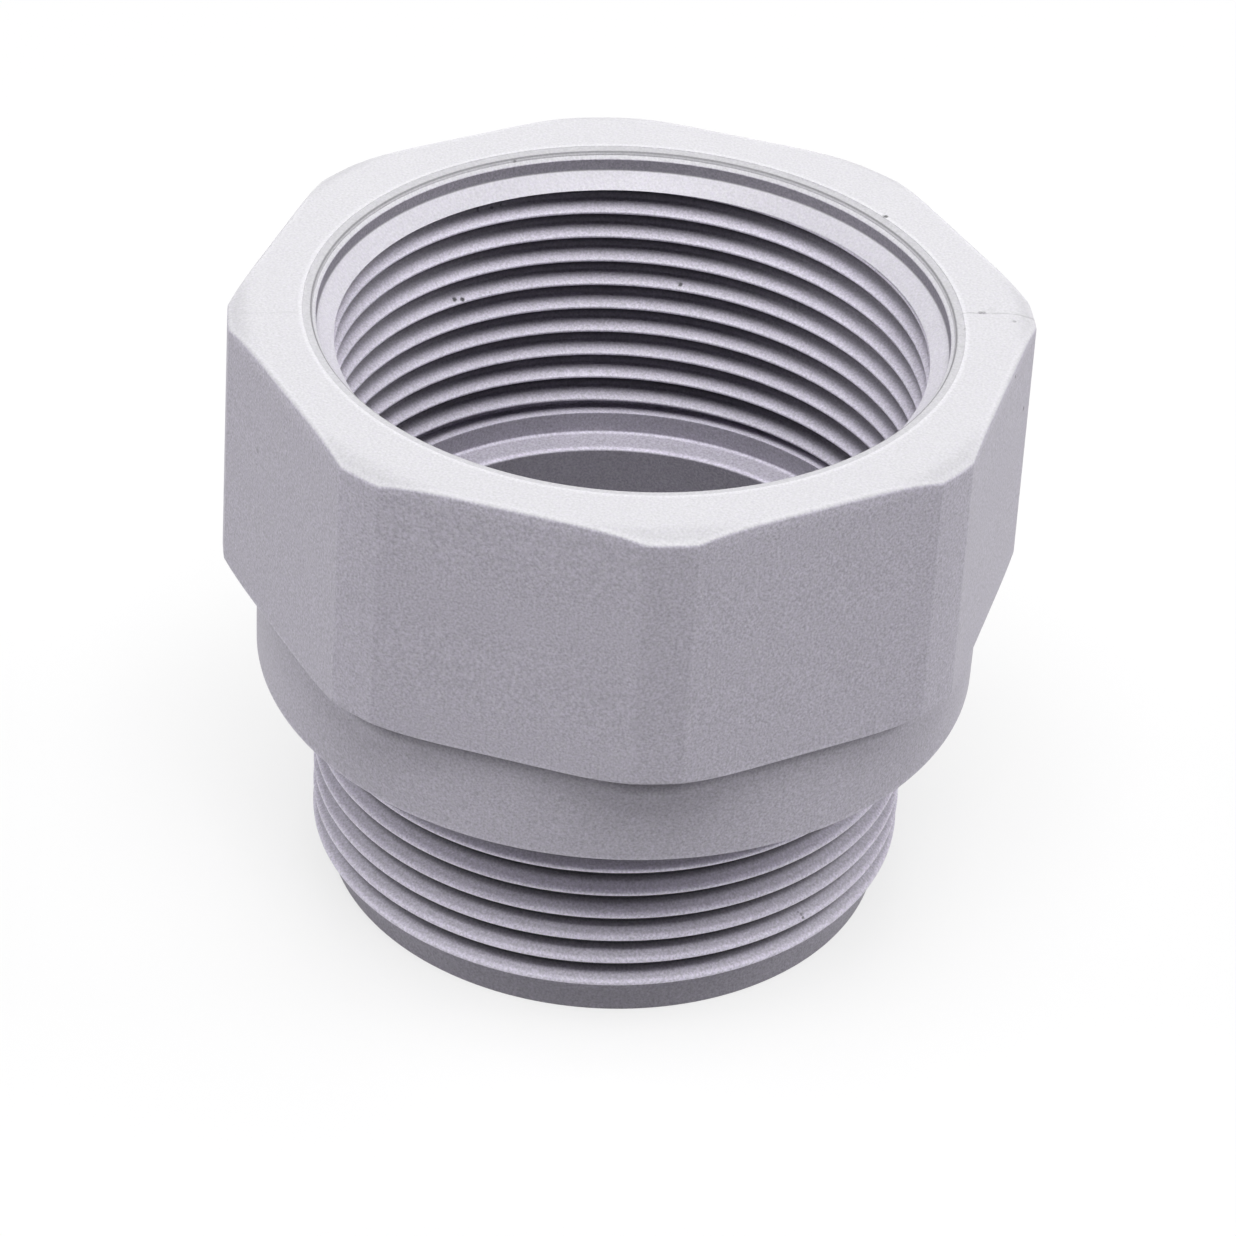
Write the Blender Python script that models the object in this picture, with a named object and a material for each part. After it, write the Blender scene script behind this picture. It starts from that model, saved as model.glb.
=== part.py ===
"""Threaded extension coupling for conduit and cable entries, moulded in one piece.

An eight-sided grip stands on a round collar, and a screwed spigot hangs below the collar.
The top is open: a stepped mouth leads into an internal thread, which ends on a flat lip over
a plain wall and a sloping seat. A round bore runs on from the seat through the spigot.
The spigot's end face lies on z = 0, and the thread axis is the Z axis. All sizes are metres.
"""

import math

import bmesh
import bpy

# Both threads: metric form with 60 degree flanks, right-handed. The socket's crests are narrower
# than the standard's, as moulded ones are, which gives a screwed-in thread room
THREAD_DIAMETER = 0.032
THREAD_PITCH = 0.0015
THREAD_CLEARANCE = 0.00005
SPIGOT_THREAD_PHASE = math.radians(296.4)
SOCKET_THREAD_PHASE = math.radians(250.9)
SOCKET_CREST_FLAT = 0.00012

# Grip: a regular prism, its corners turned down to a circle and its ends chamfered. The mould's
# draft widens it towards the collar, and the wall and the corner rise are those at the rim
GRIP_SIDES = 8
GRIP_WALL = 0.00345
GRIP_CORNER_RISE = 0.00113
GRIP_HEIGHT = 0.01472
GRIP_DRAFT = math.radians(1.0)
GRIP_CHAMFER_HEIGHT = 0.0004
GRIP_CHAMFER_ANGLE = math.radians(27)

# Collar: set back from the flats, with the shoulder that seats on a panel underneath
COLLAR_SETBACK = 0.00064
COLLAR_HEIGHT = 0.00588
COLLAR_EDGE_CHAMFER = 0.00025

# Spigot: a relief under the shoulder, the screwed length, and a plain end. The relief widens
# into the shoulder as a neck that stays inside the hole of the entry that the shoulder seats on
SPIGOT_LENGTH = 0.0132
SPIGOT_RELIEF_LENGTH = 0.0015
NECK_OVER_THREAD = 0.0001
NECK_ANGLE = math.radians(45)
SPIGOT_PLAIN_LENGTH = 0.0019
SPIGOT_WALL = 0.00138
SPIGOT_EDGE_CHAMFER = 0.0001

# Socket, from the mouth inwards
MOUTH_EDGE_RADIUS = 0.00027
MOUTH_STEP_WIDTH = 0.00018
MOUTH_STEP_DROP = 0.00017
RECESS_DEPTH = 0.0011
RECESS_TAPER = 0.00012
LEAD_IN_ANGLE = math.radians(38)
LIP_WIDTH = 0.00014
PLAIN_WALL_LENGTH = 0.00125
SEAT_RISE = 0.00333
SEAT_ANGLE = math.radians(13)

# Mesh fineness
SPANS_PER_FLAT = 5
MOUTH_EDGE_SPANS = 2

# The metric thread form
HALF_FLANK = math.radians(30)
SHARP_HEIGHT = THREAD_PITCH / 2 / math.tan(HALF_FLANK)
SPIGOT_THREAD_DEPTH = SHARP_HEIGHT * 17 / 24
SOCKET_THREAD_DEPTH = SHARP_HEIGHT * 5 / 8
SPIGOT_CREST_FLAT = THREAD_PITCH / 8

# Radii that follow from the thread and the walls
SPIGOT_CREST_RADIUS = THREAD_DIAMETER / 2
SPIGOT_ROOT_RADIUS = SPIGOT_CREST_RADIUS - SPIGOT_THREAD_DEPTH
BORE_RADIUS = SPIGOT_ROOT_RADIUS - SPIGOT_WALL
SOCKET_ROOT_RADIUS = THREAD_DIAMETER / 2 + THREAD_CLEARANCE
SOCKET_CREST_RADIUS = SOCKET_ROOT_RADIUS - SOCKET_THREAD_DEPTH
PLAIN_WALL_RADIUS = SOCKET_CREST_RADIUS - LIP_WIDTH
RECESS_RADIUS = SOCKET_ROOT_RADIUS + RECESS_TAPER
MOUTH_RADIUS = RECESS_RADIUS + MOUTH_STEP_WIDTH
FLAT_RADIUS = SOCKET_ROOT_RADIUS + GRIP_WALL
CORNER_RADIUS = FLAT_RADIUS + GRIP_CORNER_RISE
COLLAR_RADIUS = FLAT_RADIUS + GRIP_HEIGHT * math.tan(GRIP_DRAFT) - COLLAR_SETBACK
NECK_RADIUS = SPIGOT_CREST_RADIUS + NECK_OVER_THREAD

# Heights, from the spigot's end face upwards
SHOULDER_Z = SPIGOT_LENGTH
GRIP_BASE_Z = SHOULDER_Z + COLLAR_HEIGHT
TOP_Z = GRIP_BASE_Z + GRIP_HEIGHT
SEAT_Z = SHOULDER_Z + SEAT_RISE
LIP_Z = SEAT_Z + PLAIN_WALL_LENGTH
RECESS_Z = TOP_Z - RECESS_DEPTH
SPIGOT_THREAD_TOP_Z = SHOULDER_Z - SPIGOT_RELIEF_LENGTH

FULL_TURN = 2 * math.pi
SECTOR = FULL_TURN / GRIP_SIDES
SNAP_DISTANCE = 0.00003
MERGE_DISTANCE = 0.000002
SHARP_EDGE_ANGLE = math.radians(20)


def ring_angles():
    """The angles at which every ring has a vertex: both ends of each flat, and steps between."""
    half_flat = min(math.acos(FLAT_RADIUS / CORNER_RADIUS), SECTOR / 2)
    return [
        side * SECTOR + half_flat * (2 * step / SPANS_PER_FLAT - 1)
        for side in range(GRIP_SIDES)
        for step in range(SPANS_PER_FLAT + 1)
    ]


def draft_at(z):
    """How much wider the grip is at a height than at its rim."""
    return (TOP_Z - z) * math.tan(GRIP_DRAFT)


def grip_radius(angle, z):
    """Distance from the axis to the grip's flat, or to its turned corner."""
    from_middle = (angle + SECTOR / 2) % SECTOR - SECTOR / 2
    flat = (FLAT_RADIUS + draft_at(z)) / math.cos(from_middle)
    return min(flat, CORNER_RADIUS + draft_at(z))


def chamfer_start_radius(z):
    return CORNER_RADIUS + draft_at(z) - GRIP_CHAMFER_HEIGHT / math.tan(GRIP_CHAMFER_ANGLE)


def round_ring(radius, z):
    """A plain circle. Each ring is a function of the angle, and of where its span starts."""
    return lambda angle, start: (radius, z)


def grip_face_ring(z):
    """Where the grip's flat end face stops: at the chamfer cone, or at a flat."""
    return lambda angle, start: (min(chamfer_start_radius(z), grip_radius(angle, z)), z)


def grip_edge_ring(z, direction):
    """The grip's edge, which the chamfer cone moves off the end plane towards each corner."""
    def at(angle, start):
        radius = grip_radius(angle, z)
        past_start = max(0.0, radius - chamfer_start_radius(z))
        return radius, z + direction * past_start * math.tan(GRIP_CHAMFER_ANGLE)
    return at


def thread_section(crest_radius, root_radius, crest_flat):
    """One turn's corners, top to bottom, as (distance down, radius)."""
    flank = abs(crest_radius - root_radius) * math.tan(HALF_FLANK)
    return (
        (0.0, crest_radius),
        (crest_flat, crest_radius),
        (crest_flat + flank, root_radius),
        (THREAD_PITCH - flank, root_radius),
    )


def thread_rings(section, phase, top_z, base_z, top_radius, least_radius):
    """Helical rings in order from top to base.

    Above the top plane a ring waits at top_radius, so the thread runs out there. At the base
    plane the section is cut off square. least_radius is the bore of a lead-in at a height.
    """
    turns = math.ceil((top_z - base_z) / THREAD_PITCH) + 3
    corners = [
        (turn * THREAD_PITCH + down, radius) for turn in range(turns) for down, radius in section
    ]

    def cut_radius(down_to_base):
        """The section's radius where the base plane cuts it."""
        for (above, radius_above), (below, radius_below) in zip(corners, corners[1:]):
            if below >= down_to_base:
                share = (down_to_base - above) / (below - above)
                return radius_above + share * (radius_below - radius_above)

    def ring(down, radius):
        def at(angle, start):
            turned = (start - phase) / FULL_TURN % 1 + (angle - start) / FULL_TURN
            first_z = top_z + THREAD_PITCH * (1 + turned)
            z = first_z - down
            if z > top_z - SNAP_DISTANCE:
                return top_radius, top_z
            if z < base_z + SNAP_DISTANCE:
                return cut_radius(first_z - base_z), base_z
            return max(radius, least_radius(z)), z
        return at

    return [ring(down, radius) for down, radius in corners]


def spigot_thread():
    section = thread_section(SPIGOT_CREST_RADIUS, SPIGOT_ROOT_RADIUS, SPIGOT_CREST_FLAT)
    return thread_rings(
        section,
        SPIGOT_THREAD_PHASE,
        SPIGOT_THREAD_TOP_Z,
        SPIGOT_PLAIN_LENGTH,
        SPIGOT_ROOT_RADIUS,
        lambda z: 0.0,
    )


def socket_thread():
    section = thread_section(SOCKET_CREST_RADIUS, SOCKET_ROOT_RADIUS, SOCKET_CREST_FLAT)
    return thread_rings(
        section,
        SOCKET_THREAD_PHASE,
        RECESS_Z,
        LIP_Z,
        SOCKET_ROOT_RADIUS,
        lambda z: SOCKET_ROOT_RADIUS - (RECESS_Z - z) / math.tan(LEAD_IN_ANGLE),
    )


def spigot_rings():
    """Up the outside of the spigot, from its end face to the shoulder."""
    neck_height = (NECK_RADIUS - SPIGOT_ROOT_RADIUS) / math.tan(NECK_ANGLE)
    return [
        round_ring(SPIGOT_ROOT_RADIUS - SPIGOT_EDGE_CHAMFER, 0.0),
        round_ring(SPIGOT_ROOT_RADIUS, SPIGOT_EDGE_CHAMFER),
        round_ring(SPIGOT_ROOT_RADIUS, SPIGOT_PLAIN_LENGTH),
        *reversed(spigot_thread()),
        round_ring(SPIGOT_ROOT_RADIUS, SHOULDER_Z - neck_height),
        round_ring(NECK_RADIUS, SHOULDER_Z),
    ]


def collar_rings():
    return [
        round_ring(COLLAR_RADIUS - COLLAR_EDGE_CHAMFER, SHOULDER_Z),
        round_ring(COLLAR_RADIUS, SHOULDER_Z + COLLAR_EDGE_CHAMFER),
        round_ring(COLLAR_RADIUS, GRIP_BASE_Z),
    ]


def grip_rings():
    return [
        grip_face_ring(GRIP_BASE_Z),
        grip_edge_ring(GRIP_BASE_Z, 1),
        grip_edge_ring(TOP_Z, -1),
        grip_face_ring(TOP_Z),
    ]


def mouth_rings():
    """Round the mouth's edge, then down the small step and the tapered recess wall."""
    round_over = [
        round_ring(
            MOUTH_RADIUS + MOUTH_EDGE_RADIUS * (1 - math.sin(turn)),
            TOP_Z - MOUTH_EDGE_RADIUS * (1 - math.cos(turn)),
        )
        for turn in (
            math.pi / 2 * step / MOUTH_EDGE_SPANS for step in range(MOUTH_EDGE_SPANS + 1)
        )
    ]
    step_z = TOP_Z - MOUTH_EDGE_RADIUS - MOUTH_STEP_DROP
    return [*round_over, round_ring(RECESS_RADIUS, step_z)]


def seat_and_bore_rings():
    """From the lip under the socket's thread, over the seat, to the bore's lower end."""
    seat_drop = (PLAIN_WALL_RADIUS - BORE_RADIUS) * math.tan(SEAT_ANGLE)
    return [
        round_ring(PLAIN_WALL_RADIUS, LIP_Z),
        round_ring(PLAIN_WALL_RADIUS, SEAT_Z),
        round_ring(BORE_RADIUS, SEAT_Z - seat_drop),
        round_ring(BORE_RADIUS, SPIGOT_EDGE_CHAMFER),
        round_ring(BORE_RADIUS + SPIGOT_EDGE_CHAMFER, 0.0),
    ]


def point(ring, angle, start):
    radius, z = ring(angle, start)
    return radius * math.cos(angle), radius * math.sin(angle), z


def closed_surface(rings):
    """A mesh that joins each ring to the next, and the last to the first, span by span."""
    mesh = bmesh.new()
    angles = ring_angles()
    for start, end in zip(angles, angles[1:] + [angles[0] + FULL_TURN]):
        columns = [
            [mesh.verts.new(point(ring, angle, start)) for ring in rings]
            for angle in (start, end)
        ]
        for i, j in zip(range(len(rings)), [*range(1, len(rings)), 0]):
            mesh.faces.new((columns[0][i], columns[1][i], columns[1][j], columns[0][j]))
    bmesh.ops.remove_doubles(mesh, verts=mesh.verts, dist=MERGE_DISTANCE)
    bmesh.ops.recalc_face_normals(mesh, faces=mesh.faces)
    return mesh


def moulded_plastic():
    """Light grey satin polyamide."""
    material = bpy.data.materials.new("light_grey_plastic")
    material.use_nodes = True
    shader = material.node_tree.nodes["Principled BSDF"]
    shader.inputs["Base Color"].default_value = (0.50, 0.50, 0.53, 1.0)
    shader.inputs["Roughness"].default_value = 0.48
    shader.inputs["Metallic"].default_value = 0.0
    return material


def make_coupling():
    rings = [
        *spigot_rings(),
        *collar_rings(),
        *grip_rings(),
        *mouth_rings(),
        *socket_thread(),
        *seat_and_bore_rings(),
    ]
    surface = closed_surface(rings)
    mesh = bpy.data.meshes.new("coupling_body")
    surface.to_mesh(mesh)
    surface.free()
    mesh.shade_smooth()
    mesh.set_sharp_from_angle(angle=SHARP_EDGE_ANGLE)
    mesh.materials.append(moulded_plastic())
    coupling = bpy.data.objects.new("coupling_body", mesh)
    bpy.context.scene.collection.objects.link(coupling)


for old in list(bpy.data.objects):
    bpy.data.objects.remove(old, do_unlink=True)

make_coupling()
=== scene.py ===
# %% [markdown]
# # A threaded extension coupling in light grey plastic
#
# The object is one moulded piece: an eight-sided grip on a round collar, a screwed spigot below
# and a threaded socket on top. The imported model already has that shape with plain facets, so this
# lesson makes the same piece again with fine curves, rolled edges and rounded threads, and then
# gives it the grain, the marks and the light of the photograph. The real one comes out of a steel
# mould, but its form is easiest to follow in a machinist's order: turn the blank, mill the flats,
# and cut the threads with a die and a tap.

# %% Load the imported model
import math

import bmesh
import bpy
from mathutils import Matrix, Vector


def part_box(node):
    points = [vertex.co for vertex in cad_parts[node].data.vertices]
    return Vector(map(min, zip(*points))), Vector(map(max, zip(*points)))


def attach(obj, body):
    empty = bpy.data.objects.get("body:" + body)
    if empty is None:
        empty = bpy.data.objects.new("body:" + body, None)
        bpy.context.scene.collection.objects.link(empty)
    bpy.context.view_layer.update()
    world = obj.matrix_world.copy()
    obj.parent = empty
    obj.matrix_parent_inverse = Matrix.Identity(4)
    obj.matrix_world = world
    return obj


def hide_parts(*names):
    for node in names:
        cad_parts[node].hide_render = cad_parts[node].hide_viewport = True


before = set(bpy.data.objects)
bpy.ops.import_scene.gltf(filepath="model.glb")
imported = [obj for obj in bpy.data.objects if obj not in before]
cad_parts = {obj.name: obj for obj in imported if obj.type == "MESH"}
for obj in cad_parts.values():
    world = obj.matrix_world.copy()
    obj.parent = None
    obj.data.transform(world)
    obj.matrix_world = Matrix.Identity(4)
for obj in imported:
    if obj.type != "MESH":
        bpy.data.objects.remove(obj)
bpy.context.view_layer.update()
body_low, body_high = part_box("coupling_body")
packed_height = body_high.z - body_low.z
print("packed model:", sorted(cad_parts), "height", round(packed_height * 1000, 2), "mm")

# %% [markdown]
# ## Sizes
#
# Every length is in metres, as the model is, and written as so many millimetres. The overall
# height and the width of the grip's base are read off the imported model. The rest are the sizes
# that such a coupling is designed by: its thread, its collar, its spigot and the steps of its
# mouth. The grip's walls lean out by one degree from the rim to the base, because a moulding needs
# such a draft to slide out of its mould.

# %% Sizes
MM = 0.001
FULL_TURN = 2 * math.pi

TOP_Z = body_high.z
SHOULDER_Z = 13.2 * MM
GRIP_BASE_Z = 19.08 * MM
THREAD_TOP_Z = 11.7 * MM
PLAIN_END_Z = 1.9 * MM
LIP_Z = 17.78 * MM
SEAT_Z = 16.53 * MM
RECESS_Z = TOP_Z - 1.1 * MM

DRAFT = math.tan(math.radians(1))
FLAT_RADIUS = body_high.x - (TOP_Z - GRIP_BASE_Z) * DRAFT
CORNER_RADIUS = FLAT_RADIUS + 1.13 * MM
COLLAR_RADIUS = 19.11 * MM
NECK_RADIUS = 16.1 * MM
SPIGOT_RADIUS = 15.08 * MM
BORE_RADIUS = 13.7 * MM
PLAIN_WALL_RADIUS = 15.1 * MM
CONE_TOP_RADIUS = 16.16 * MM
RECESS_RADIUS = 16.17 * MM
LEDGE_RADIUS = 16.35 * MM
MOUTH_RADIUS = 16.87 * MM

PITCH = 1.5 * MM
MERGE_DISTANCE = 0.0005 * MM
print("thread: pitch", PITCH / MM, "mm, grip:", round(2 * FLAT_RADIUS / MM, 2), "mm across flats")

# %% [markdown]
# ## A few helpers
#
# An operator works on whatever is selected, so each step begins by clearing the selection and
# making its own piece the active one. A Boolean is added, applied and done with, and its tool is
# thrown away afterwards, as a cutter is put back in the drawer.

# %% Helpers for operators
def deselect_all():
    if bpy.context.mode != "OBJECT":
        bpy.ops.object.mode_set(mode="OBJECT")
    bpy.ops.object.select_all(action="DESELECT")


def edit(piece):
    deselect_all()
    piece.select_set(True)
    bpy.context.view_layer.objects.active = piece
    bpy.ops.object.mode_set(mode="EDIT")
    bpy.ops.mesh.select_mode(type="VERT")
    bpy.ops.mesh.select_all(action="DESELECT")
    return bmesh.from_edit_mesh(piece.data)


def apply_boolean(piece, tool, operation):
    deselect_all()
    bpy.context.view_layer.objects.active = piece
    modifier = piece.modifiers.new(operation.lower(), "BOOLEAN")
    modifier.operation = operation
    modifier.object = tool
    modifier.solver = "EXACT"
    bpy.ops.object.modifier_apply(modifier=modifier.name)
    bpy.data.objects.remove(tool, do_unlink=True)


def report(title, piece):
    """Prints the faces, and the edges that don't join exactly two. A closed piece has none."""
    mesh = bmesh.new()
    mesh.from_mesh(piece.data)
    open_edges = sum(not edge.is_manifold for edge in mesh.edges)
    print(title, len(mesh.faces), "faces, open edges:", open_edges)
    mesh.free()


# %% [markdown]
# ## Soft corners
#
# No edge of a moulding is knife-sharp, and the thin bright line that an edge catches is what makes
# it look real. A profile is written as corners with a radius each, and this helper swaps each
# corner for a short arc that is tangent to both of its sides. Doing it in the profile is safer than
# a Bevel on the finished piece, because the arcs can't run into each other where edges meet.

# %% Round the corners of a profile
WIDEST_ARC_STEP = math.radians(20.1)


def arc_points(before, corner, after, radius):
    """The corner of a flat outline, rounded. Points are (distance from the axis, height)."""
    here = Vector(corner)
    back = (Vector(before) - here).normalized()
    ahead = (Vector(after) - here).normalized()
    half = back.angle(ahead) / 2
    centre = here + (back + ahead).normalized() * radius / math.sin(half)
    start = here + back * radius / math.tan(half) - centre
    turn = start.angle_signed(here + ahead * radius / math.tan(half) - centre)
    steps = max(2, math.ceil(abs(turn) / WIDEST_ARC_STEP))
    return [
        tuple(centre + Matrix.Rotation(-turn * step / steps, 2) @ start)
        for step in range(steps + 1)
    ]


def soften(corners, closed=False):
    """corners is a list of (distance from the axis, height, radius of the rounding)."""
    points = []
    last = len(corners) - 1
    for place, (distance, height, radius) in enumerate(corners):
        if radius == 0 or (not closed and place in (0, last)):
            points.append((distance, height))
            continue
        before = corners[place - 1][:2]
        after = corners[(place + 1) % len(corners)][:2]
        points += arc_points(before, (distance, height), after, radius)
    return points


test = soften([(0, 0, 0), (1, 0, 0.2), (1, 1, 0)])
print("a rounded right angle:", [tuple(round(value, 3) for value in point) for point in test])

# %% [markdown]
# ## The grip's outline
#
# Seen from above, the grip is an octagon whose corners were turned down to a circle. Its upright
# edges are rolled: a small disc is thought of as rolling inside the sharp outline, and the wall is
# the path of its outer side. That way one rule holds for a flat, a corner and the places between,
# with no joint to see.

# %% Where the wall stands at each angle
SIDES = 8
SECTOR = FULL_TURN / SIDES
UPRIGHT_ROUNDING = 0.5 * MM

disc_angle = math.acos((FLAT_RADIUS - UPRIGHT_ROUNDING) / (CORNER_RADIUS - UPRIGHT_ROUNDING))
disc_x = FLAT_RADIUS - UPRIGHT_ROUNDING
disc_y = disc_x * math.tan(disc_angle)
flat_end = math.atan2(disc_y, FLAT_RADIUS)


def wall_radius(angle):
    """Distance from the axis to the grip's wall, over a flat, a rolled edge or a turned corner."""
    turned = abs((angle + SECTOR / 2) % SECTOR - SECTOR / 2)
    if turned <= flat_end:
        return FLAT_RADIUS / math.cos(turned)
    if turned >= disc_angle:
        return CORNER_RADIUS
    along = disc_x * math.cos(turned) + disc_y * math.sin(turned)
    aside = disc_x * math.sin(turned) - disc_y * math.cos(turned)
    return along + math.sqrt(UPRIGHT_ROUNDING**2 - aside**2)


print("wall at a flat and at a corner:", wall_radius(0) / MM, wall_radius(SECTOR / 2) / MM)

# %% [markdown]
# ## The grip's ends
#
# Both end faces bend away towards the corners, which is what gives the end edges their gentle S
# when they are seen from the side. A cone would do that too, but its start would show as a line
# across the face. Here the face sinks with the square of the distance, so it leaves the level
# without a mark, and a small arc then rolls it over into the wall. Where the arc touches the face
# depends on the face's slope there, so that place is found in a few rounds. The two ends are the
# same, and the draft makes the lower one wider.

# %% Along an end face and round its edge
EDGE_ROUNDING = 0.2 * MM
BEND_START = 19.45 * MM
BEND = 0.273 / MM
TOUCH_ROUNDS = 8
RIM_FACE_START = 18.9 * MM
BASE_FACE_START = 19.05 * MM


def sunk(distance):
    """How far an end face has bent away from its level, at a distance from the axis."""
    return BEND * max(0, distance - BEND_START) ** 2


def end_point(angle, face_start, face_share, edge_share):
    """(distance, depth) of a point on the face for edge_share 0, and else on the rolled edge."""
    wall = wall_radius(angle)
    touch = wall - EDGE_ROUNDING
    for repeat in range(TOUCH_ROUNDS):
        slope = math.atan(2 * BEND * max(0, touch - BEND_START))
        touch = wall - EDGE_ROUNDING * (1 - math.sin(slope))
    if edge_share == 0:
        distance = face_start + (touch - face_start) * face_share
        return distance, sunk(distance)
    lean = slope + (math.pi / 2 - slope) * edge_share
    distance = wall - EDGE_ROUNDING * (1 - math.sin(lean))
    centre_depth = sunk(touch) + EDGE_ROUNDING * math.cos(slope)
    return distance, centre_depth - EDGE_ROUNDING * math.cos(lean)


def drafted(distance, height):
    """The same point on the grip that widens from its rim downwards."""
    return distance * (1 + (TOP_Z - height) * DRAFT / FLAT_RADIUS), height


FACE_STEPS = 5
EDGE_STEPS = 5
steps_outwards = [(step / FACE_STEPS, 0) for step in range(FACE_STEPS + 1)]
steps_outwards += [(1, step / EDGE_STEPS) for step in range(1, EDGE_STEPS + 1)]
corner_depth = end_point(SECTOR / 2, RIM_FACE_START, 1, 0)[1]
print("the face sinks", round(corner_depth / MM, 3), "mm at a corner")

# %% [markdown]
# ## Columns
#
# All rings share one set of angles. They are close together at the rolled upright edges, where the
# surface turns quickly, and further apart on the flats, where nothing happens. Even spacing would
# need three times as many for edges as clean.

# %% Angles of the columns
FLAT_COLUMNS = 9
CORNER_COLUMNS = 3

half_sector = [flat_end * step / FLAT_COLUMNS for step in range(FLAT_COLUMNS)]
half_sector += [flat_end, (flat_end + disc_angle) / 2, disc_angle]
half_sector += [
    disc_angle + (SECTOR / 2 - disc_angle) * step / CORNER_COLUMNS
    for step in range(1, CORNER_COLUMNS)
]
one_sector = half_sector + [SECTOR / 2] + [SECTOR - angle for angle in half_sector[:0:-1]]
columns = [side * SECTOR + angle for side in range(SIDES) for angle in one_sector]
closest = math.degrees(disc_angle - flat_end) / 2
print(len(columns), "columns, the closest", round(closest, 2), "degrees apart")

# %% [markdown]
# ## Turn the blank
#
# The blank starts as a circle at the spigot's end. Its edge is extruded again and again, and each
# new ring is placed at its own distance and height, up the outside, over the rim and down through
# the bore, until the last ring is bridged to the first. A lathe works the same way, and unlike a
# profile that is spun, each ring can follow the octagon where it has to.

# %% The rings, from the spigot's end outwards and back through the bore
BORE_JOIN_Z = 0.5 * MM
NECK_RISE = NECK_RADIUS - SPIGOT_RADIUS
LEAD_IN_SLOPE = math.tan(math.radians(38))
CONE_FOOT_Z = RECESS_Z - (CONE_TOP_RADIUS - PLAIN_WALL_RADIUS) * LEAD_IN_SLOPE

outside = soften([
    (BORE_RADIUS, BORE_JOIN_Z, 0),
    (BORE_RADIUS, 0, 0.15 * MM),
    (SPIGOT_RADIUS, 0, 0.1 * MM),
    (SPIGOT_RADIUS, SHOULDER_Z - NECK_RISE, 0.3 * MM),
    (NECK_RADIUS, SHOULDER_Z, 0.1 * MM),
    (COLLAR_RADIUS, SHOULDER_Z, 0.2 * MM),
    (COLLAR_RADIUS, GRIP_BASE_Z, 0.06 * MM),
    (FLAT_RADIUS, GRIP_BASE_Z, 0),
])[1:-1]

mouth_and_bore = soften([
    (FLAT_RADIUS, TOP_Z, 0),
    (MOUTH_RADIUS, TOP_Z, 0.03 * MM),
    (MOUTH_RADIUS - 0.03 * MM, TOP_Z - 0.05 * MM, 0.03 * MM),
    (LEDGE_RADIUS, TOP_Z - 0.09 * MM, 0.2 * MM),
    (LEDGE_RADIUS, TOP_Z - 0.29 * MM, 0.03 * MM),
    (RECESS_RADIUS, TOP_Z - 0.46 * MM, 0.05 * MM),
    (CONE_TOP_RADIUS, RECESS_Z, 0.05 * MM),
    (PLAIN_WALL_RADIUS, CONE_FOOT_Z, 0),
    (PLAIN_WALL_RADIUS, SEAT_Z, 0.08 * MM),
    (BORE_RADIUS, SEAT_Z - 0.32 * MM, 0.1 * MM),
    (BORE_RADIUS, BORE_JOIN_Z, 0),
])[1:]


def plain_ring(distance, height):
    return lambda angle: (distance, height)


def grip_ring(level, direction, face_start, steps):
    """A ring on one of the grip's ends. direction is the way into the grip, up or down."""
    def at(angle):
        distance, depth = end_point(angle, face_start, *steps)
        return drafted(distance, level + direction * depth)
    return at


rings = [plain_ring(*point) for point in outside]
rings += [grip_ring(GRIP_BASE_Z, 1, BASE_FACE_START, steps) for steps in steps_outwards]
rings += [grip_ring(TOP_Z, -1, RIM_FACE_START, steps) for steps in reversed(steps_outwards)]
rings += [plain_ring(*point) for point in mouth_and_bore]
print(len(rings), "rings")

# %% Extrude ring after ring
def place_ring(mesh, ring):
    """Moves the selected vertices onto a ring. Each one keeps its angle."""
    for vertex in mesh.verts:
        if vertex.select:
            angle = math.atan2(vertex.co.y, vertex.co.x)
            distance, height = ring(angle)
            vertex.co = (distance * math.cos(angle), distance * math.sin(angle), height)


deselect_all()
bpy.ops.mesh.primitive_circle_add(vertices=len(columns), radius=SPIGOT_RADIUS)
coupling = bpy.context.object
coupling.name = "coupling"
mesh = edit(coupling)
by_angle = sorted(mesh.verts, key=lambda vertex: math.atan2(vertex.co.y, vertex.co.x) % FULL_TURN)
for vertex, angle in zip(by_angle, columns):
    vertex.co = (SPIGOT_RADIUS * math.cos(angle), SPIGOT_RADIUS * math.sin(angle), 0)
bpy.ops.mesh.select_all(action="SELECT")
place_ring(mesh, rings[0])
for ring in rings[1:]:
    bpy.ops.mesh.extrude_edges_move()
    mesh = bmesh.from_edit_mesh(coupling.data)
    place_ring(mesh, ring)

# %% Bridge the last ring to the first
bpy.ops.mesh.select_all(action="DESELECT")
bpy.ops.mesh.select_mode(type="EDGE")
bpy.ops.mesh.select_non_manifold(extend=False)
bpy.ops.mesh.bridge_edge_loops()
bpy.ops.mesh.select_all(action="SELECT")
bpy.ops.mesh.remove_doubles(threshold=MERGE_DISTANCE)
bpy.ops.mesh.normals_make_consistent(inside=False)
bpy.ops.object.mode_set(mode="OBJECT")
report("blank:", coupling)

# %% [markdown]
# ## Threaded rods
#
# A metric thread is a row of 60 degree teeth wound round a cylinder. One tooth is drawn as a
# profile one pitch high, and a Screw modifier winds it up the axis so that the top of each turn
# meets the foot of the next. Both ends are then cut square by a bisect, which fills the cut. The
# result is a threaded rod. One rod becomes the spigot's thread, and a second one, to the sizes of
# the internal thread, is the tap that cuts the socket.

# %% Draw one tooth and wind it
THREAD_STEPS = 160
HALF_FLANK = math.radians(30)


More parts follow.
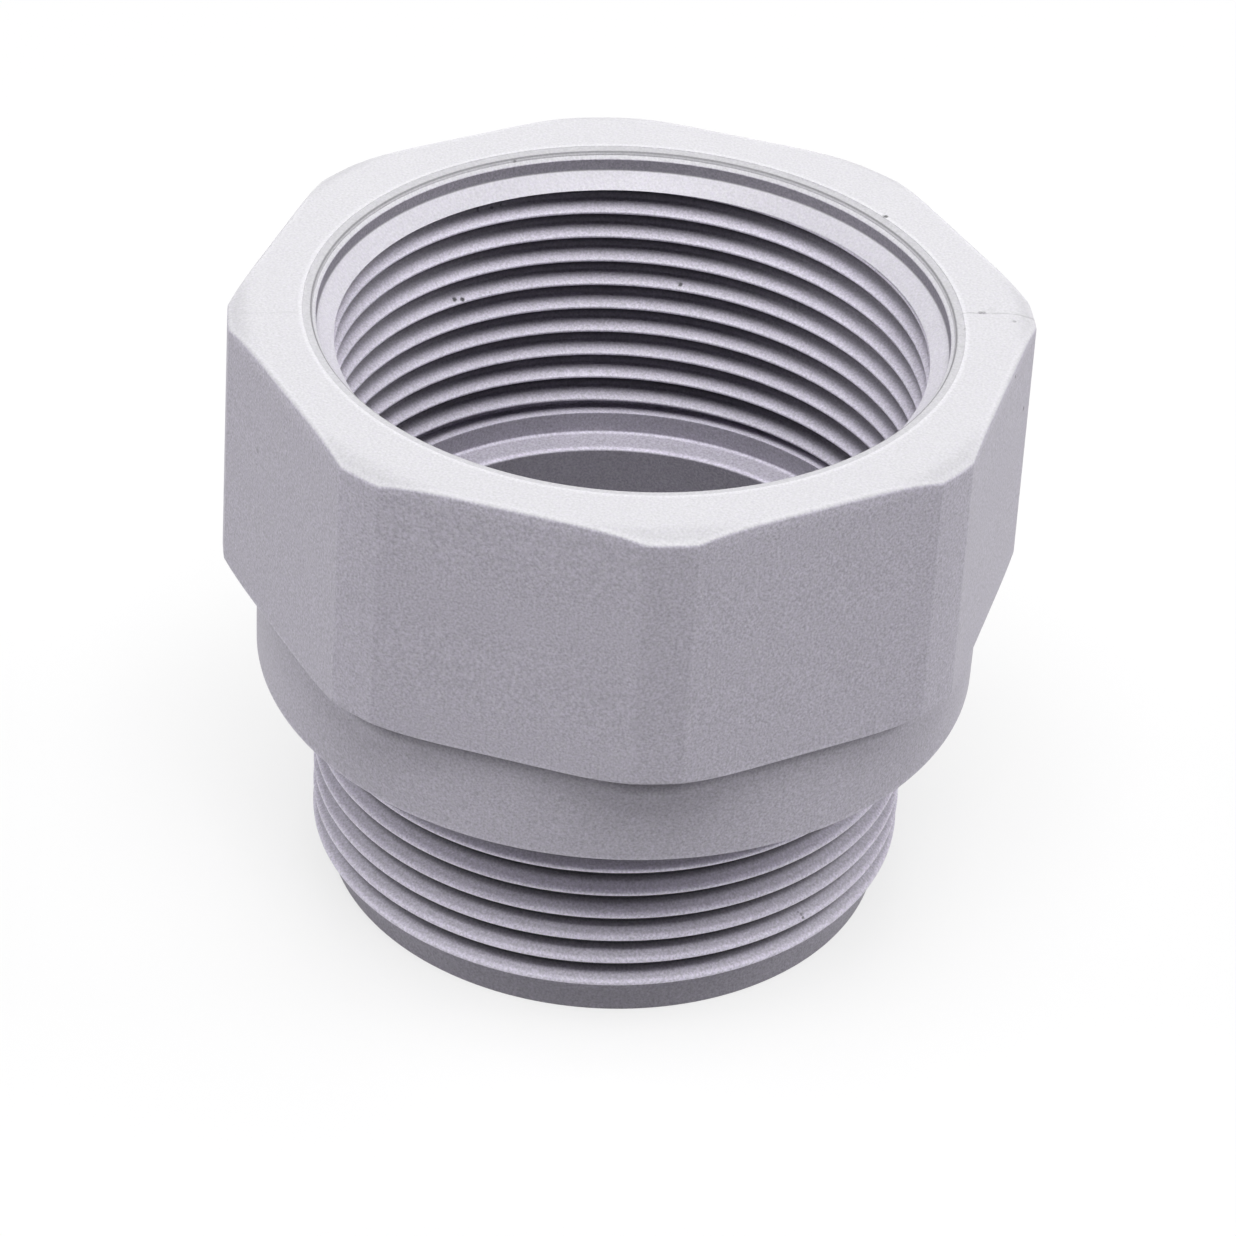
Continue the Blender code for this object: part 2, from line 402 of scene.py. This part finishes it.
def tooth(crest_radius, root_radius, crest_flat, crest_rounding, root_rounding):
    """One pitch of a thread that stands out from the axis, from mid root to mid root."""
    flank = (crest_radius - root_radius) * math.tan(HALF_FLANK)
    crest_low = (PITCH - crest_flat) / 2
    crest_high = crest_low + crest_flat
    return soften([
        (root_radius, 0, 0),
        (root_radius, crest_low - flank, root_rounding),
        (crest_radius, crest_low, crest_rounding),
        (crest_radius, crest_high, crest_rounding),
        (root_radius, crest_high + flank, root_rounding),
        (root_radius, PITCH, 0),
    ])


def threaded_rod(name, profile, foot_z, low_z, high_z):
    """foot_z is where the profile starts at angle 0, a pitch or more below low_z."""
    deselect_all()
    bpy.ops.mesh.primitive_plane_add(size=MM)
    rod = bpy.context.object
    rod.name = name
    edit(rod)
    bpy.ops.mesh.select_all(action="SELECT")
    bpy.ops.mesh.merge(type="CENTER")
    bpy.ops.transform.translate(value=(profile[0][0], 0, foot_z + profile[0][1]))
    for (distance, height), (next_distance, next_height) in zip(profile, profile[1:]):
        step = (next_distance - distance, 0, next_height - height)
        bpy.ops.mesh.extrude_vertices_move(TRANSFORM_OT_translate={"value": step})
    bpy.ops.object.mode_set(mode="OBJECT")

    screw = rod.modifiers.new("wind", "SCREW")
    screw.axis = "Z"
    screw.angle = FULL_TURN
    screw.screw_offset = PITCH
    screw.iterations = math.ceil((high_z - foot_z) / PITCH) + 1
    screw.steps = screw.render_steps = THREAD_STEPS
    screw.use_merge_vertices = True
    screw.merge_threshold = MERGE_DISTANCE
    bpy.ops.object.modifier_apply(modifier=screw.name)

    edit(rod)
    bpy.ops.mesh.select_all(action="SELECT")
    bpy.ops.mesh.remove_doubles(threshold=MERGE_DISTANCE)
    for height, below in ((low_z, True), (high_z, False)):
        bpy.ops.mesh.select_all(action="SELECT")
        bpy.ops.mesh.bisect(
            plane_co=(0, 0, height),
            plane_no=(0, 0, 1),
            use_fill=True,
            clear_inner=below,
            clear_outer=not below,
            threshold=0.0001 * MM,
        )
    bpy.ops.mesh.select_all(action="SELECT")
    bpy.ops.mesh.normals_make_consistent(inside=False)
    bpy.ops.object.mode_set(mode="OBJECT")
    report(name, rod)
    return rod


# %% [markdown]
# ## The spigot's thread
#
# The rod is bored out to a sleeve, because the blank already has its bore, and the sleeve is joined
# to the spigot with a union. Its root stands a hair's breadth outside the spigot's own wall: two
# cylinders of the same size but with different facets would cross each other all over. A tooth is
# drawn from mid root, half a pitch from its crest, so the winding starts seven and a half turns
# below a crest that the photograph shows.

# %% Make the sleeve and join it on
SLEEVE_LIFT = 0.012 * MM
SPIGOT_CREST_RADIUS = 16 * MM
SPIGOT_CREST_FLAT = PITCH / 8
SPIGOT_CREST_Z = 10.31 * MM

spigot_tooth = tooth(
    SPIGOT_CREST_RADIUS, SPIGOT_RADIUS + SLEEVE_LIFT, SPIGOT_CREST_FLAT, 0.15 * MM, 0.12 * MM
)
sleeve = threaded_rod(
    "spigot_sleeve",
    spigot_tooth,
    SPIGOT_CREST_Z - 7.5 * PITCH,
    PLAIN_END_Z,
    THREAD_TOP_Z,
)
deselect_all()
bpy.ops.mesh.primitive_cylinder_add(
    vertices=96,
    radius=(SPIGOT_RADIUS + BORE_RADIUS) / 2,
    depth=4 * SHOULDER_Z,
)
apply_boolean(sleeve, bpy.context.object, "DIFFERENCE")
apply_boolean(coupling, sleeve, "UNION")
report("with its spigot thread:", coupling)

# %% [markdown]
# ## Tap the socket
#
# The tap is a rod with the internal thread's sizes turned inside out: its crest cuts the thread's
# root. The ridges that it leaves are narrow and round, as moulded ones are. Its square lower end
# leaves the flat lip that a gland's spigot stops on. Its upper end stops where the lead-in cone
# comes down to the crests, so the cone stays whole and the first turn fades in just under it.

# %% Cut the internal thread
SOCKET_ROOT_RADIUS = 16.05 * MM
SOCKET_CREST_RADIUS = 15.238 * MM
SOCKET_CREST_FLAT = 0.12 * MM
SOCKET_CREST_Z = 31.595 * MM

thread_depth = SOCKET_ROOT_RADIUS - SOCKET_CREST_RADIUS
socket_root_flat = PITCH - SOCKET_CREST_FLAT - 2 * thread_depth * math.tan(HALF_FLANK)

tap_tooth = tooth(SOCKET_ROOT_RADIUS, SOCKET_CREST_RADIUS, socket_root_flat, 0.1 * MM, 0.1 * MM)
tap = threaded_rod(
    "tap",
    tap_tooth,
    SOCKET_CREST_Z - 11 * PITCH,
    LIP_Z,
    RECESS_Z - (CONE_TOP_RADIUS - SOCKET_CREST_RADIUS) * LEAD_IN_SLOPE,
)
apply_boolean(coupling, tap, "DIFFERENCE")
report("with both threads:", coupling)

# %% [markdown]
# ## Smooth shading
#
# The rolled edges are fine enough to be shaded smooth. Only real creases, such as the ends of the
# threads, keep a hard line, and shading by angle finds those on its own. A wall of a single tall
# face would still borrow a tilt from the narrow faces of its rolled edges, and look curved. A
# Weighted Normal modifier lets the largest face at each corner decide, so a flat stays flat.

# %% Shade the piece
deselect_all()
coupling.select_set(True)
bpy.context.view_layer.objects.active = coupling
bpy.ops.object.shade_smooth_by_angle(angle=math.radians(28))
weighted = coupling.modifiers.new("even_shading", "WEIGHTED_NORMAL")
weighted.keep_sharp = True
bpy.ops.object.modifier_apply(modifier=weighted.name)
print("finished piece:", [round(size / MM, 2) for size in coupling.dimensions], "mm")

# %% [markdown]
# ## The plastic
#
# The part is light grey polyamide with a touch of violet. The mould was spark-eroded, which leaves
# a fine pebbled grain on the plastic, weaker on the end face and on the lead-in cone. Everything is
# drawn from Object coordinates, in metres, so the grain keeps its real size. Small helpers keep the
# node code readable: one makes a node and sets its inputs, and the others are the few sums that the
# masks need. They all add to the tree that the name tree stands for, so the floor and the room
# light can use them later.

# %% Node helpers
plastic = bpy.data.materials.new("light_grey_plastic")
plastic.use_nodes = True
tree = plastic.node_tree
shader = tree.nodes["Principled BSDF"]


def node(kind, settings=None, **inputs):
    """Adds a node. An input is a value, or the output socket that feeds it, and _0 is the first."""
    made = tree.nodes.new(kind)
    for name, value in (settings or {}).items():
        setattr(made, name, value)
    for name, value in inputs.items():
        socket = made.inputs[int(name[1:])] if name[0] == "_" else made.inputs[name]
        if isinstance(value, bpy.types.NodeSocket):
            tree.links.new(value, socket)
        else:
            socket.default_value = value
    return made


def maths(operation, first, second=0.0, third=0.0):
    settings = {"operation": operation}
    return node("ShaderNodeMath", settings, _0=first, _1=second, _2=third).outputs[0]


def vector_maths(operation, first, **inputs):
    return node("ShaderNodeVectorMath", {"operation": operation}, _0=first, **inputs)


def blend(base, *pairs):
    """The base, plus every value of the pairs times its share."""
    for value, share in pairs:
        base = maths("MULTIPLY_ADD", value, share, base)
    return base


def all_of(*masks):
    """1 only where every mask is 1."""
    total = masks[0]
    for mask in masks[1:]:
        total = maths("MULTIPLY", total, mask)
    return total


def fade(value, start, end, shape="SMOOTHSTEP"):
    """0 at start, 1 at end, with a soft change between them, or a straight one for LINEAR."""
    ramp = node("ShaderNodeMapRange", {"interpolation_type": shape}, _0=value, _1=start, _2=end)
    return ramp.outputs[0]


place = node("ShaderNodeTexCoord").outputs["Object"]
split = node("ShaderNodeSeparateXYZ", _0=place)
x, y, z = (split.outputs[axis] for axis in "XYZ")
from_axis = maths("SQRT", maths("ADD", maths("MULTIPLY", x, x), maths("MULTIPLY", y, y)))
print("nodes so far:", len(tree.nodes))

# %% [markdown]
# ## Which face is it?
#
# Some finishes belong to one face only, so a few masks tell the faces apart. The grip's wall is
# found by the distance to it, which the angle gives: PINGPONG folds the full turn into half a side
# of the octagon, and a flat's distance divided by the cosine of what is left is the wall's.

# %% Masks for the faces
around = maths("ARCTAN2", y, x)
half_side = maths("PINGPONG", around, SECTOR / 2)
flat_wall = maths("DIVIDE", FLAT_RADIUS, maths("COSINE", half_side))
grip_wall = maths("MINIMUM", flat_wall, CORNER_RADIUS)
near_wall = maths("SUBTRACT", grip_wall, from_axis)
collar_wall = all_of(
    fade(from_axis, COLLAR_RADIUS - 0.4 * MM, COLLAR_RADIUS - 0.1 * MM),
    fade(z, GRIP_BASE_Z + 0.1 * MM, GRIP_BASE_Z - 0.05 * MM),
)
outer_wall = maths("MAXIMUM", collar_wall, fade(near_wall, 0.07 * MM, 0.0))
end_face = all_of(
    fade(from_axis, RECESS_RADIUS + 0.01 * MM, RECESS_RADIUS + 0.04 * MM),
    fade(z, TOP_Z - 0.9 * MM, TOP_Z - 0.7 * MM),
    maths("SUBTRACT", 1.0, outer_wall),
)
inside_socket = fade(from_axis, MOUTH_RADIUS + 0.03 * MM, MOUTH_RADIUS - 0.07 * MM)
lead_in_cone = all_of(
    inside_socket,
    fade(z, RECESS_Z - 0.8 * MM, RECESS_Z - 0.7 * MM),
    fade(z, RECESS_Z + 0.08 * MM, RECESS_Z + 0.03 * MM),
)
print("nodes with the faces:", len(tree.nodes))

# %% [markdown]
# ## Grain
#
# Two noises make the grain: a fine one about an eighth of a millimetre across for the pebbles,
# and a broader one that makes the tone and the gloss drift a little. The end face and the cone have
# half as much of it, because their part of the mould was polished. A third noise lets the grey
# waver between violet and green, as pigment does in moulded plastic.

# %% Grain
def noise(scale, detail=1.0, roughness=0.5):
    inputs = {"Scale": scale, "Detail": detail, "Roughness": roughness}
    return node("ShaderNodeTexNoise", Vector=place, **inputs)


def waver(*settings):
    """A noise that goes up and down round 0."""
    return maths("SUBTRACT", noise(*settings).outputs[0], 0.5)


POLISHED_LOSS = 0.5
pebbles = waver(7600.0, 1.5, 0.6)
patches = waver(420.0, 2.0)
pigment = waver(5200.0)
smoother = maths("ADD", end_face, lead_in_cone)
grain = maths("MULTIPLY", pebbles, blend(1.0, (smoother, -POLISHED_LOSS)))
print("nodes with the grain:", len(tree.nodes))

# %% [markdown]
# ## Where on the threads
#
# The painted shade and highlights on a thread depend on two things: the distance from the axis,
# which tells root from crest, and how far a point is below the ridge above it, where that ridge's
# shadow falls. A helix climbs one pitch in a turn, so the height minus the turn, both counted in
# pitches, is the same all along a ridge. The fraction of that is the distance below the crest.

# %% Masks for the two threads
turns = maths("MULTIPLY", around, 1 / FULL_TURN)


def below_crest(crest_z):
    """0 at a crest and rising downwards to 1 at the next one."""
    pitches = maths("MULTIPLY", maths("SUBTRACT", crest_z, z), 1 / PITCH)
    return maths("FRACT", maths("ADD", pitches, turns))


beside_spigot = fade(from_axis, SPIGOT_RADIUS - 0.18 * MM, SPIGOT_RADIUS - 0.08 * MM)
socket_thread = all_of(
    inside_socket,
    fade(z, LIP_Z - 0.1 * MM, LIP_Z),
    fade(z, RECESS_Z - 0.7 * MM, RECESS_Z - 0.8 * MM),
)
spigot_thread = all_of(
    beside_spigot,
    fade(z, SHOULDER_Z - 0.4 * MM, SHOULDER_Z - 0.6 * MM),
    fade(z, PLAIN_END_Z, PLAIN_END_Z + 0.15 * MM),
)
# Painted shadow goes in the bands close under each ridge, where the ridge above shades them.
socket_ridge_shadow = all_of(
    socket_thread,
    fade(below_crest(SOCKET_CREST_Z), 0.65, 0.4, "LINEAR"),
    fade(from_axis, 15.35 * MM, 15.6 * MM),
)
spigot_ridge_shadow = all_of(
    spigot_thread,
    fade(below_crest(SPIGOT_CREST_Z), 0.63, 0.55),
    fade(from_axis, 15.6 * MM, 15.3 * MM),
)
print("nodes with the thread masks:", len(tree.nodes))

# %% [markdown]
# ## Painted shade in roots and hollows
#
# Shade is painted into the colour where little light gets in: in the roots of the threads, most of
# all close under the ridge above, on the recess wall, on the ring inside the mouth's rim, in the
# deep end of the socket and the bore, on the spigot's plain end, and as a painted shadow line on
# the collar in the corner under the grip. That last line follows the octagon, like the edge above
# it: the further the grip stands out, the further down the line reaches. These places are made
# rougher as well. Each place has its own share, and together they may not go beyond the darkest
# value. The spigot's upper turns, under the collar, get painted shade of their own.

# %% Painted shade
LINE_DROP = 0.72
DARKEST_SHADE = 0.88

above_lip = fade(z, LIP_Z + 0.1 * MM, LIP_Z + 0.7 * MM)
grip_overhang = maths("SUBTRACT", grip_wall, COLLAR_RADIUS)
line_height = blend(z, (grip_overhang, LINE_DROP))
socket_root = all_of(
    socket_thread,
    above_lip,
    fade(from_axis, SOCKET_ROOT_RADIUS - 0.33 * MM, SOCKET_ROOT_RADIUS - 0.05 * MM, "LINEAR"),
)
spigot_root = all_of(
    spigot_thread,
    fade(from_axis, SPIGOT_RADIUS + 0.37 * MM, SPIGOT_RADIUS + 0.05 * MM, "LINEAR"),
)
recess_wall = all_of(
    inside_socket,
    fade(from_axis, RECESS_RADIUS - 0.07 * MM, RECESS_RADIUS - 0.02 * MM),
    fade(z, TOP_Z - 0.42 * MM, TOP_Z - 0.5 * MM),
)
mouth_ledge = all_of(
    blend(0.12, (fade(from_axis, LEDGE_RADIUS + 0.15 * MM, LEDGE_RADIUS + 0.09 * MM), 0.4)),
    fade(from_axis, MOUTH_RADIUS - 0.03 * MM, MOUTH_RADIUS - 0.07 * MM),
    fade(z, TOP_Z - 0.2 * MM, TOP_Z - 0.15 * MM),
)
deep_end = all_of(
    fade(from_axis, BORE_RADIUS + 0.2 * MM, BORE_RADIUS + 0.5 * MM),
    inside_socket,
    fade(z, LIP_Z + 2.72 * MM, LIP_Z + 0.22 * MM),
)
bore_wall = fade(from_axis, BORE_RADIUS + 0.1 * MM, BORE_RADIUS + 0.02 * MM)
collar_shadow_line = all_of(
    collar_wall,
    fade(line_height, GRIP_BASE_Z - 0.7 * MM, GRIP_BASE_Z, "LINEAR"),
)
plain_end = all_of(
    beside_spigot,
    fade(z, PLAIN_END_Z + 0.02 * MM, PLAIN_END_Z),
    fade(z, PLAIN_END_Z - 0.5 * MM, PLAIN_END_Z, "LINEAR"),
)
# Painted shade: every dark place with its share, and no darker than the darkest value.
painted_shade = blend(
    0.0,
    (socket_root, 0.35),
    (all_of(socket_ridge_shadow, above_lip), 0.5),
    (spigot_root, 0.6),
    (spigot_ridge_shadow, 0.25),
    (recess_wall, 0.43),
    (mouth_ledge, 1.0),
    (deep_end, 0.16),
    (bore_wall, 0.37),
    (collar_shadow_line, 0.55),
    (plain_end, 0.12),
)
painted_shade = maths("MINIMUM", painted_shade, DARKEST_SHADE)
# Painted shade on the spigot's upper turns, under the collar's overhang.
shade_under_collar = all_of(
    spigot_thread, fade(z, THREAD_TOP_Z - 1.7 * MM, THREAD_TOP_Z - 0.6 * MM)
)
print("nodes with the dull places:", len(tree.nodes))

# %% [markdown]
# ## Painted highlights on edges and crests
#
# Highlights are painted into the colour where edges and ridges catch the light: the crests of
# both threads and the spigot's flanks, the lead-in cone, the edges of the seat, the rim and the lip
# of the mouth, the grip's two end edges and the collar's lower edge. They are a little lighter and
# smoother than the rest.

# %% Painted highlights
rim_edge = all_of(
    fade(near_wall, 0.45 * MM, 0.1 * MM), fade(z, TOP_Z - 0.85 * MM, TOP_Z - 0.35 * MM)
)
base_edge = all_of(
    fade(near_wall, 0.3 * MM, 0.1 * MM), fade(z, GRIP_BASE_Z + 0.35 * MM, GRIP_BASE_Z + 0.1 * MM)
)
mouth_edge = all_of(
    fade(from_axis, MOUTH_RADIUS - 0.03 * MM, MOUTH_RADIUS),
    fade(from_axis, MOUTH_RADIUS + 0.28 * MM, MOUTH_RADIUS + 0.08 * MM),
    fade(z, TOP_Z - 0.3 * MM, TOP_Z - 0.1 * MM),
)
mouth_lip = all_of(
    fade(from_axis, LEDGE_RADIUS + 0.07 * MM, LEDGE_RADIUS + 0.03 * MM),
    fade(from_axis, RECESS_RADIUS - 0.01 * MM, RECESS_RADIUS + 0.03 * MM),
    fade(z, TOP_Z - 0.5 * MM, TOP_Z - 0.4 * MM),
)
seat_inner_edge = fade(from_axis, BORE_RADIUS + 0.35 * MM, BORE_RADIUS + 0.15 * MM)
seat_outer_edge = fade(from_axis, PLAIN_WALL_RADIUS - 0.25 * MM, PLAIN_WALL_RADIUS - 0.08 * MM)
seat_edges = all_of(
    inside_socket,
    maths("ADD", seat_inner_edge, seat_outer_edge),
    fade(from_axis, BORE_RADIUS, BORE_RADIUS + 0.04 * MM),
    fade(z, SEAT_Z - 0.6 * MM, SEAT_Z - 0.5 * MM),
    fade(z, SEAT_Z + 0.12 * MM, SEAT_Z + 0.04 * MM),
)
collar_edge = all_of(
    fade(from_axis, COLLAR_RADIUS - 0.41 * MM, COLLAR_RADIUS - 0.21 * MM),
    fade(z, SHOULDER_Z + 0.35 * MM, SHOULDER_Z + 0.15 * MM),
)
# Painted highlights: every lightened edge and crest with its share.
painted_highlight = blend(
    0.0,
    (all_of(socket_thread, fade(from_axis, 15.8 * MM, 15.55 * MM)), 0.33),
    (all_of(spigot_thread, fade(from_axis, 15.3 * MM, 15.6 * MM)), 0.42),
    (all_of(spigot_thread, fade(from_axis, 15.72 * MM, 15.95 * MM)), 0.42),
    (lead_in_cone, 0.14),
    (seat_edges, 0.35),
    (rim_edge, 0.1),
    (base_edge, 0.2),
    (mouth_edge, 0.12),
    (mouth_lip, 0.25),
    (collar_edge, 0.15),
)
print("nodes with the rubbed places:", len(tree.nodes))

# %% [markdown]
# ## Marks
#
# A few marks tell that this is one real piece. A weld line, where two streams of plastic met in
# the mould, runs across the end face at one corner, with a faint one opposite. Specks of burnt
# plastic lie here and there, and one ridge of the socket has a burnished streak. Each speck is a
# place with a radius in millimetres and a depth, where a depth below zero makes it lighter. The
# places are shaken by a fine noise first, so that no speck is a perfect disc.

# %% Specks and streaks
SPECKS = [
    ((9.54, 14.05, 33.8), 0.17, 0.9),
    ((-12.62, 8.97, 26.4), 0.15, 0.85),
    ((-12.26, 9.26, 26.32), 0.17, 0.9),
    ((-11.36, 10.33, 26.3), 0.1, 0.25),
    ((-11.11, 10.58, 26.28), 0.1, 0.2),
    ((-1.77, 15.42, 26.22), 0.15, 0.8),
    ((18.39, 6.31, 33.8), 0.12, 0.4),
    ((16.17, 4.66, 33.8), 0.12, 0.25),
    ((19.51, 2.07, 33.24), 0.14, 0.75),
    ((19.58, 5.29, 29.41), 0.15, 0.8),
    ((-15.88, -11.83, 28.56), 0.12, 0.35),
    ((-1.32, -19.06, 16.1), 0.12, 0.25),
    ((-8.06, -17.23, 33.8), 0.12, 0.07),
    ((16.55, 6.5, 33.8), 0.14, 0.4),
    ((16.73, 6.56, 33.8), 0.14, 0.4),
    ((17.02, 7.0, 33.8), 0.25, 0.08),
    ((-10.63, 12.42, 33.56), 0.1, 0.5),
    ((-12.03, 10.62, 31.26), 0.12, 0.5),
    ((-11.44, 11.22, 31.18), 0.12, 0.5),
    ((-11.07, 11.62, 31.24), 0.1, 0.5),
    ((13.26, -8.29, 4.54), 0.1, 0.5),
    ((13.43, -8.29, 4.46), 0.1, 0.5),
    ((13.58, -8.41, 4.32), 0.11, 0.7),
    ((13.38, -7.38, 3.26), 0.1, 0.35),
    ((-8.1, 13.12, 20.27), 0.3, -0.16),
    ((-7.36, 13.55, 20.26), 0.32, -0.2),
    ((-6.6, 13.95, 20.24), 0.3, -0.2),
    ((-5.8, 14.3, 20.23), 0.32, -0.16),
    ((-5.05, 14.6, 20.23), 0.3, -0.12),
]


def shaken(scale, amount):
    """Every place, moved a little at random. The amount is in millimetres."""
    offset = vector_maths("SUBTRACT", noise(scale).outputs[1], _1=(0.5, 0.5, 0.5)).outputs[0]
    reach = (amount * MM,) * 3
    return vector_maths("MULTIPLY_ADD", offset, _1=reach, _2=place).outputs[0]


rough_place = shaken(7000.0, 0.16)
specks = 0.0
for centre, radius, depth in SPECKS:
    middle = Vector(centre) * MM
    away = vector_maths("DISTANCE", rough_place, _1=middle).outputs["Value"]
    specks = blend(specks, (fade(away, 1.2 * radius * MM, 0.45 * radius * MM), depth))
print("specks and streaks:", len(SPECKS))


# %% Weld lines on the end face
def weld_line(angle):
    """A wobbly, broken radial line on the end face, at an angle in degrees."""
    turned = node(
        "ShaderNodeVectorRotate",
        {"rotation_type": "Z_AXIS"},
        Vector=shaken(900.0, 0.5),
        Angle=-math.radians(angle),
    )
    parts = node("ShaderNodeSeparateXYZ", _0=turned.outputs[0])
    return all_of(
        fade(maths("ABSOLUTE", parts.outputs["Y"]), 0.11 * MM, 0.03 * MM),
        fade(parts.outputs["X"], 16.7 * MM, 16.9 * MM),
        fade(z, TOP_Z - 0.6 * MM, TOP_Z - 0.4 * MM),
        blend(0.25, (fade(waver(1500.0), -0.08, 0.08), 0.75)),
    )


marks = blend(specks, (weld_line(21.1), 0.22), (weld_line(-156.8), 0.07))
print("nodes with the marks:", len(tree.nodes))

# %% [markdown]
# ## Put the plastic together
#
# The end face is given a purer grey and the lead-in cone a less violet one, while the rest, most
# of it in shade, is more violet: painted light, as the grey looks more violet in shade. So the
# tint is mixed between two greys first.
# All the rest ends in one tone that multiplies the tint, one roughness and one bump.

# %% Colour, roughness and relief
PURER_GREY = (0.487, 0.482, 0.503, 1)
VIOLET_GREY = (0.478, 0.452, 0.529, 1)

# Painted light: less violet on the brightly lit end face and on the cone.
violet_share = blend(0.9, (lead_in_cone, -0.5), (end_face, -0.85), (pigment, 1.1))
tint = node(
    "ShaderNodeMix", {"data_type": "RGBA"}, _0=violet_share, _6=PURER_GREY, _7=VIOLET_GREY
).outputs[2]
# The outer walls are made 5 % darker: painted shade, as the grip's sides get less light.
tone = blend(1.0, (grain, 0.95), (patches, 0.06), (outer_wall, -0.05))
# Painted highlights lighten the colour and painted shade darkens it.
tone = maths("MULTIPLY", tone, blend(1.0, (painted_highlight, 1.0), (painted_shade, -1.0)))
# Painted shade darkens the spigot's upper turns under the collar.
tone = maths("MULTIPLY", tone, blend(1.0, (shade_under_collar, -0.55)))
tone = maths("MULTIPLY", tone, blend(1.0, (marks, -1.0)))
colour = vector_maths("SCALE", tint, Scale=tone).outputs[0]
roughness = blend(0.48, (patches, 0.16), (painted_highlight, -0.15), (painted_shade, 0.4))
bump = node("ShaderNodeBump", Strength=0.7, Distance=0.04 * MM, Height=grain)
tree.links.new(colour, shader.inputs["Base Color"])
tree.links.new(roughness, shader.inputs["Roughness"])
tree.links.new(bump.outputs[0], shader.inputs["Normal"])
shader.inputs["Specular IOR Level"].default_value = 0.35
coupling.data.materials.clear()
coupling.data.materials.append(plastic)
print("plastic nodes:", len(tree.nodes))

# %% [markdown]
# ## The studio
#
# The background is plain white. The floor takes real shadows, and for the camera it is mixed with a
# plain white glow of strength 1, so that it stays white without more light on the object. Away from
# the object, where there is no shadow to keep, the glow takes over, so that no horizon shows.

# %% Floor
FLOOR_GREY = 0.6
FLOOR_SEEN_GREY = 0.75
GLOW_AT_OBJECT = 0.75
GLOW_RISE_START = 0.05
GLOW_RISE_END = 0.3


def white_for_camera():
    """1 for rays from the camera, and for reflected and refracted ones, so they see white too."""
    path = node("ShaderNodeLightPath")
    total = path.outputs["Is Camera Ray"]
    for other in ("Is Glossy Ray", "Is Transmission Ray"):
        total = maths("MAXIMUM", total, path.outputs[other])
    return total


deselect_all()
bpy.ops.mesh.primitive_plane_add(size=3)
floor = bpy.context.object
floor.name = "floor"
paper = bpy.data.materials.new("white_paper")
paper.use_nodes = True
tree = paper.node_tree
tree.nodes.clear()
seen = white_for_camera()
floor_place = node("ShaderNodeTexCoord").outputs["Object"]
far_away = vector_maths("LENGTH", floor_place).outputs["Value"]
beyond = fade(far_away, GLOW_RISE_START, GLOW_RISE_END, "LINEAR")
glow_share = blend(GLOW_AT_OBJECT, (beyond, 1 - GLOW_AT_OBJECT))
matt_grey = blend(FLOOR_GREY, (seen, FLOOR_SEEN_GREY - FLOOR_GREY))
mixed = node(
    "ShaderNodeMixShader",
    _0=maths("MULTIPLY", seen, glow_share),
    _1=node("ShaderNodeBsdfDiffuse", Color=matt_grey).outputs[0],
    _2=node("ShaderNodeEmission").outputs[0],
)
node("ShaderNodeOutputMaterial", Surface=mixed.outputs[0])
floor.data.materials.append(paper)
print("floor nodes:", len(tree.nodes))

# %% Room light
world = bpy.data.worlds.new("studio")
bpy.context.scene.world = world
world.use_nodes = True
tree = world.node_tree
background = tree.nodes["Background"]
background.inputs["Color"].default_value = (1, 1, 1, 1)
tree.links.new(white_for_camera(), background.inputs["Strength"])
print("room light nodes:", len(tree.nodes))

# %% [markdown]
# ## Lamps
#
# The main light is a softbox high above the piece and a little towards the camera. It is steep
# enough to leave the walls darker than the end face, and leans enough to reach the upper side of
# each ridge in the socket. Three weaker panels, low at the left, the right and the back, stand in
# for the white sweep round the table, and keep the walls from going flat.

# %% Softbox and panels
FRONT = -74.5
LAMP_DISTANCE = 0.65
LAMP_TARGET = Vector((0, 0, 0.02))


def lamp(name, turn, elevation, size, power):
    """turn is in degrees from the camera's side, counted to the right."""
    angle = math.radians(FRONT + turn)
    rise = math.radians(elevation)
    level = math.cos(rise)
    toward = Vector((math.cos(angle) * level, math.sin(angle) * level, math.sin(rise)))
    light = bpy.data.lights.new(name, "AREA")
    light.size = size
    light.energy = power
    made = bpy.data.objects.new(name, light)
    made.matrix_world = Matrix.Translation(toward * LAMP_DISTANCE + LAMP_TARGET)
    made.rotation_euler = toward.to_track_quat("Z", "Y").to_euler()
    bpy.context.scene.collection.objects.link(made)
    print(name, power, "W at", elevation, "degrees up")


lamp("softbox", 0, 75, 0.4, 4.8)
lamp("left_panel", -90, 30, 0.35, 1.4)
lamp("right_panel", 100, 30, 0.35, 1.75)
lamp("back_panel", 180, 30, 0.35, 1.1)
bpy.context.scene.view_settings.view_transform = "Standard"

# %% [markdown]
# ## The camera
#
# The photograph was taken from a little over a third of the way up, with a long lens, and with the
# camera tipped slightly to one side. The lens and the place were fitted to the outlines of the rim,
# the collar and the threads.

# %% Camera
CAMERA_PLACE = (0.0510007, -0.1834117, 0.1502314)
LENS = 127.456
TURN = math.radians(15.5)
ELEVATION = math.radians(35.484)
TIP = math.radians(3.546)

camera_data = bpy.data.cameras.new("camera")
camera_data.sensor_width = 36
camera_data.lens = LENS
camera_data.clip_start = 0.01
camera = bpy.data.objects.new("camera", camera_data)
bpy.context.scene.collection.objects.link(camera)
camera.matrix_world = (
    Matrix.Translation(CAMERA_PLACE)
    @ Matrix.Rotation(TURN, 4, "Z")
    @ Matrix.Rotation(math.pi / 2 - ELEVATION, 4, "X")
    @ Matrix.Rotation(TIP, 4, "Z")
)
bpy.context.scene.camera = camera
print("camera:", LENS, "mm lens,", round(math.degrees(ELEVATION), 1), "degrees up")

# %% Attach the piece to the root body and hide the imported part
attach(coupling, "root")
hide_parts("coupling_body")
